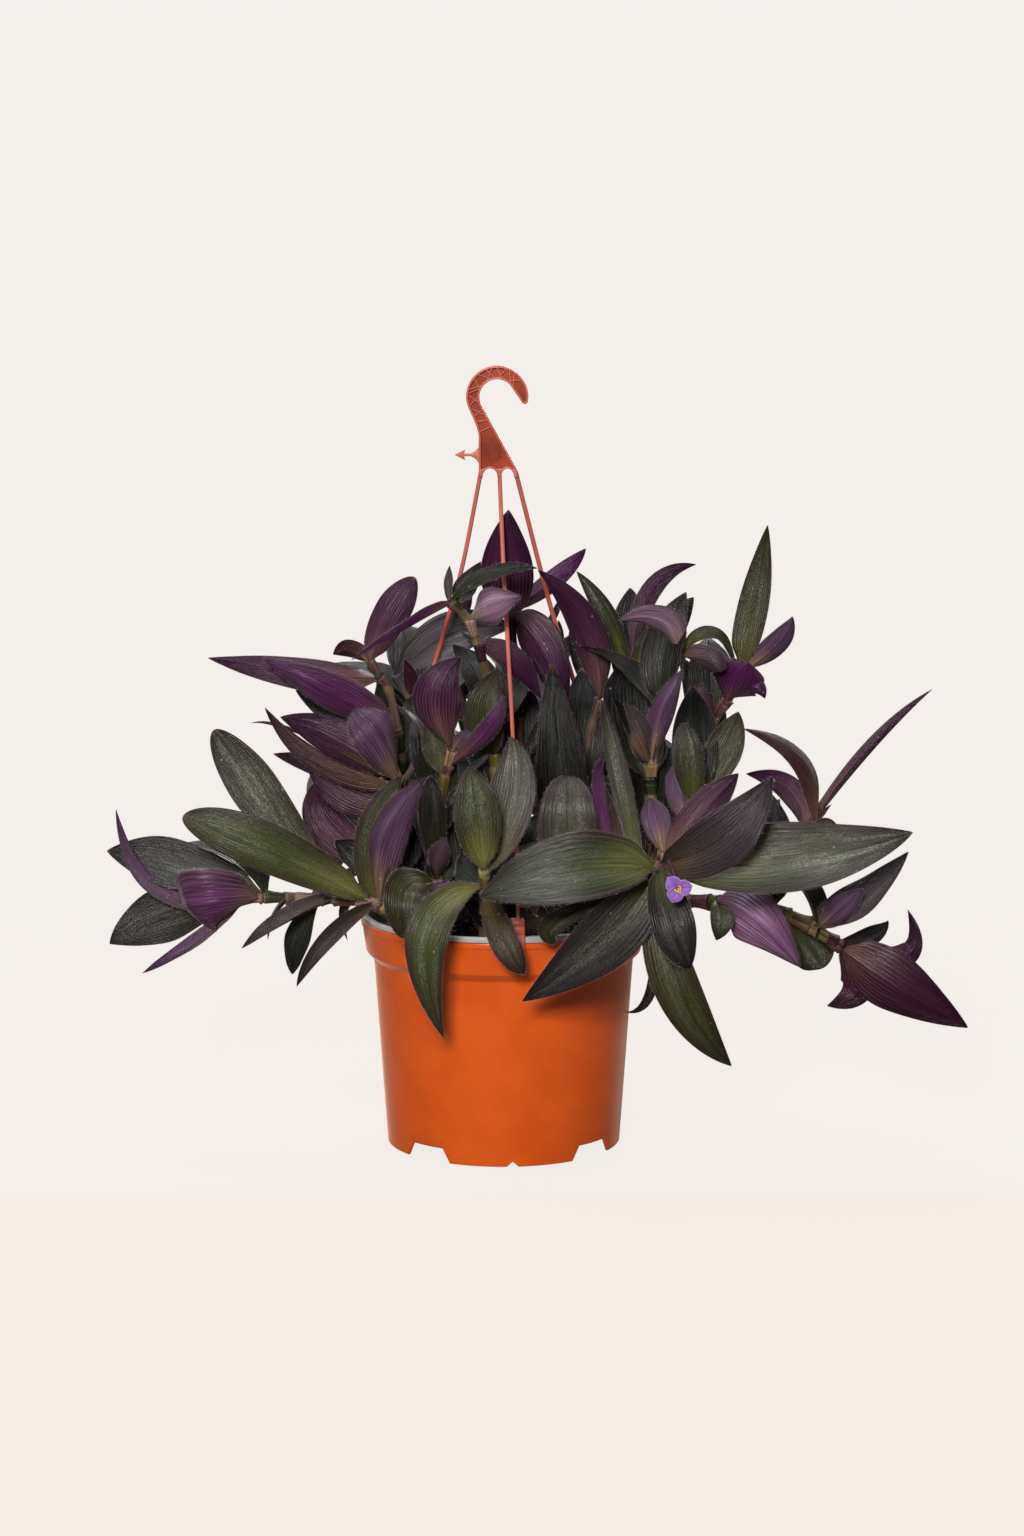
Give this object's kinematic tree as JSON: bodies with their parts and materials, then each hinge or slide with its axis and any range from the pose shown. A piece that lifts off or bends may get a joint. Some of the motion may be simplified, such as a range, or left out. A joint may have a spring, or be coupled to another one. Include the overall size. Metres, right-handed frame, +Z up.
{
  "type": "potted tradescantia",
  "caption": "Leafy trailing plant with purple-green lance-shaped leaves in a terracotta-coloured plastic hanging pot, with a light inner pot and a moulded hanger that ends in a hook.",
  "frame": {"origin": "on the pot's axis at the level that its feet stand on, at the middle of the flat pad under its floor", "axes": "+Z up along the pot's axis to the hook, -Y towards the viewer of the picture, +X to the viewer's right, along the plant's greatest spread"},
  "size_m": [0.5, 0.3469, 0.4628],
  "materials": {
    "pot": "satin",
    "liner": "satin",
    "hanger": "satin",
    "soil": "matte",
    "leaf": "satin",
    "flower": "matte"
  },
  "bodies": {
    "root": {"hanging_pot": "pot", "grow_pot": "liner", "soil": "soil", "hanger": "hanger", "stem_trailing_left": "leaf", "stem_upper_left": "leaf", "stem_middle_left": "leaf", "stem_top_left": "leaf", "stem_top_middle": "leaf", "stem_centre_front": "leaf", "stem_centre_back": "leaf", "stem_middle_right": "leaf", "stem_top_right_behind": "leaf", "stem_top_right": "leaf", "stem_upright_right": "leaf", "stem_front_right": "leaf", "stem_trailing_right": "leaf", "stem_behind_right": "leaf", "stem_centre_left": "leaf", "stem_upper_middle_left": "leaf", "stem_back_low": "leaf", "stem_back_trailing_left": "leaf", "stem_back_trailing_right": "leaf", "stem_back_middle": "leaf", "stem_back_tall": "leaf", "stem_back_upper_left": "leaf", "flower": "flower"}
  },
  "joints": []
}
